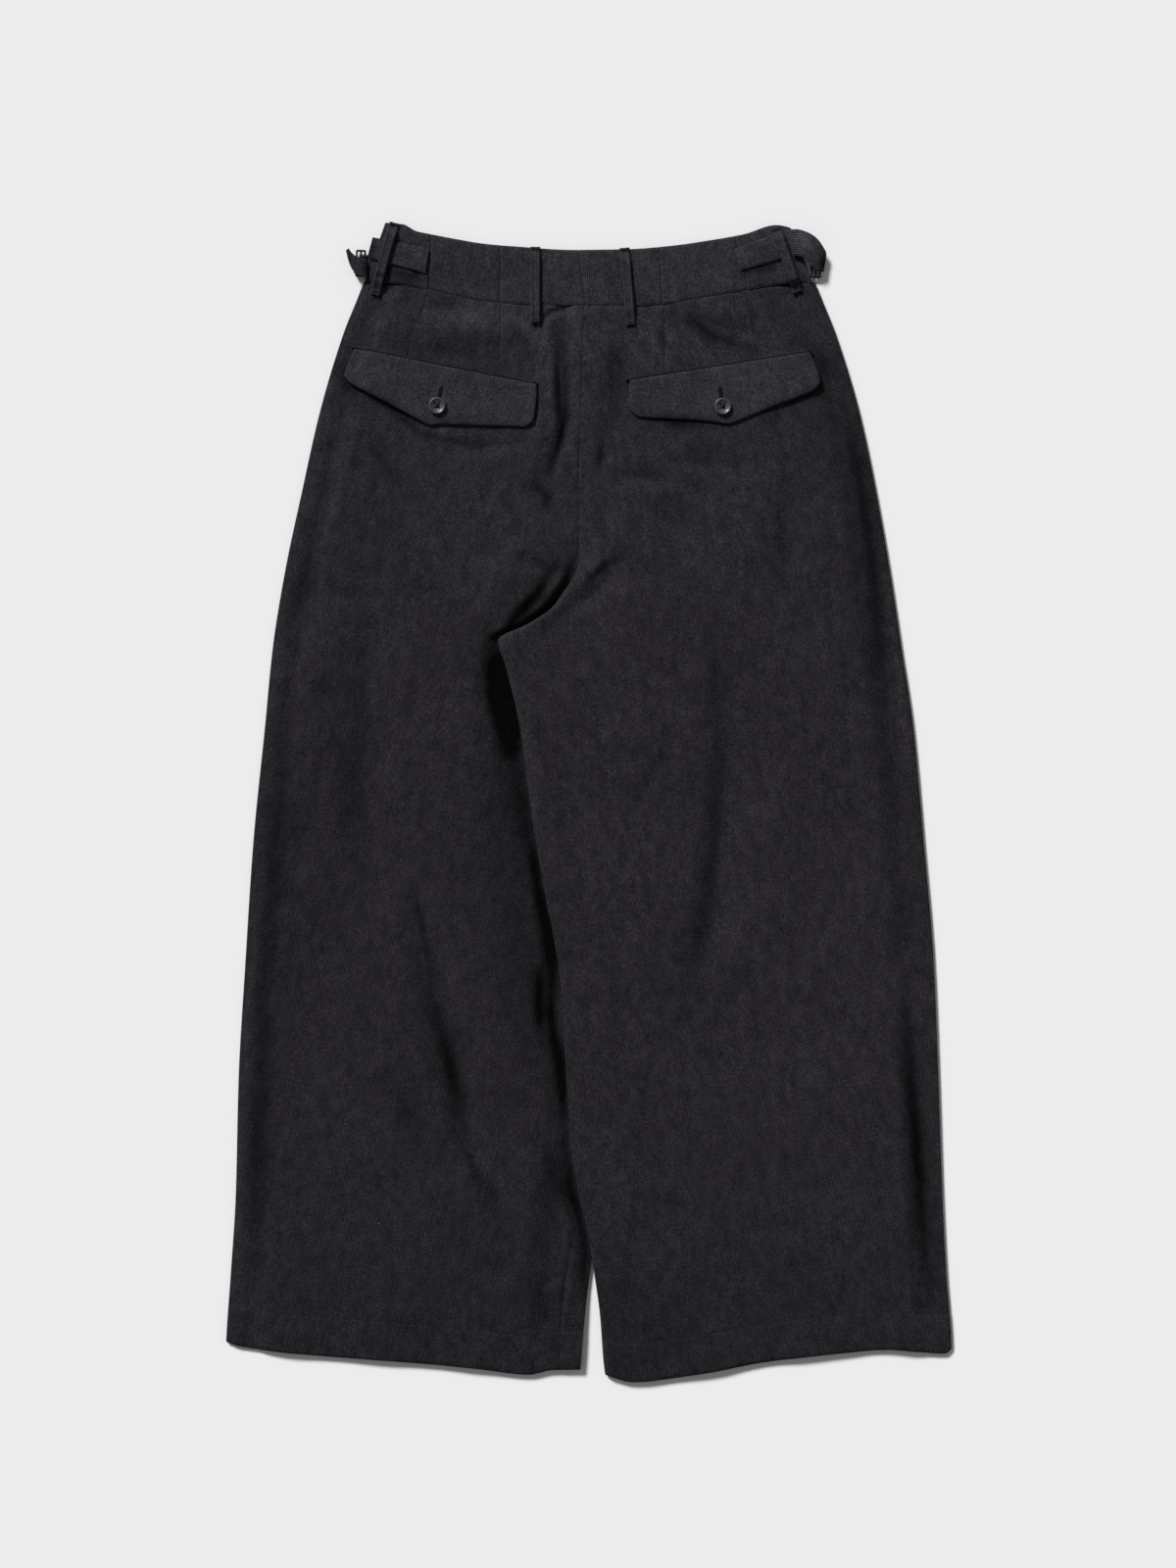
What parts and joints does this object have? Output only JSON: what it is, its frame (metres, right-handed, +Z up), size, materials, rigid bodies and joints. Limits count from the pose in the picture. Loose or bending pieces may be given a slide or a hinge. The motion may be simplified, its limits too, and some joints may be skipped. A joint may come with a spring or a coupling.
{
  "type": "wide-leg corduroy trousers, laid flat with the back up",
  "caption": "Wide-leg corduroy trousers laid flat, back up, with a shaped waistband, belt loops, buckled side adjusters and buttoned pocket flaps.",
  "frame": {"origin": "on the surface that the trousers lie on, under the middle of their bounding box", "axes": "+Y from hem to waistband, +X towards the wearer's right leg (the back faces up), +Z up from the surface"},
  "size_m": [0.6448, 1.0304, 0.0129],
  "materials": {
    "corduroy": "fine-wale cotton corduroy, charcoal black, soft cut pile with mottled nap",
    "corduroy_trim": "the same corduroy, doubled and pressed, slightly greyer",
    "button": "dark grey moulded resin, satin",
    "buckle": "dark gunmetal plate with bright worn edges"
  },
  "bodies": {
    "root": {"adjuster_buckle_left": "buckle", "adjuster_buckle_right": "buckle", "adjuster_strap_left": "corduroy_trim", "adjuster_strap_right": "corduroy_trim", "adjuster_tab_left": "corduroy_trim", "adjuster_tab_right": "corduroy_trim", "back_left": "corduroy", "back_right": "corduroy", "belt_loop_centre_left": "corduroy_trim", "belt_loop_centre_right": "corduroy_trim", "belt_loop_side_left": "corduroy_trim", "belt_loop_side_right": "corduroy_trim", "button_left": "button", "button_right": "button", "flap_left": "corduroy_trim", "flap_right": "corduroy_trim", "fly_shield": "corduroy", "front_left": "corduroy", "front_right": "corduroy", "waistband_back_left_inner": "corduroy_trim", "waistband_back_left_outer": "corduroy_trim", "waistband_back_right_inner": "corduroy_trim", "waistband_back_right_outer": "corduroy_trim", "waistband_front_left": "corduroy_trim", "waistband_front_right": "corduroy_trim", "waistband_side_left": "corduroy_trim", "waistband_side_right": "corduroy_trim", "welt_left": "corduroy_trim", "welt_right": "corduroy_trim"}
  },
  "joints": []
}
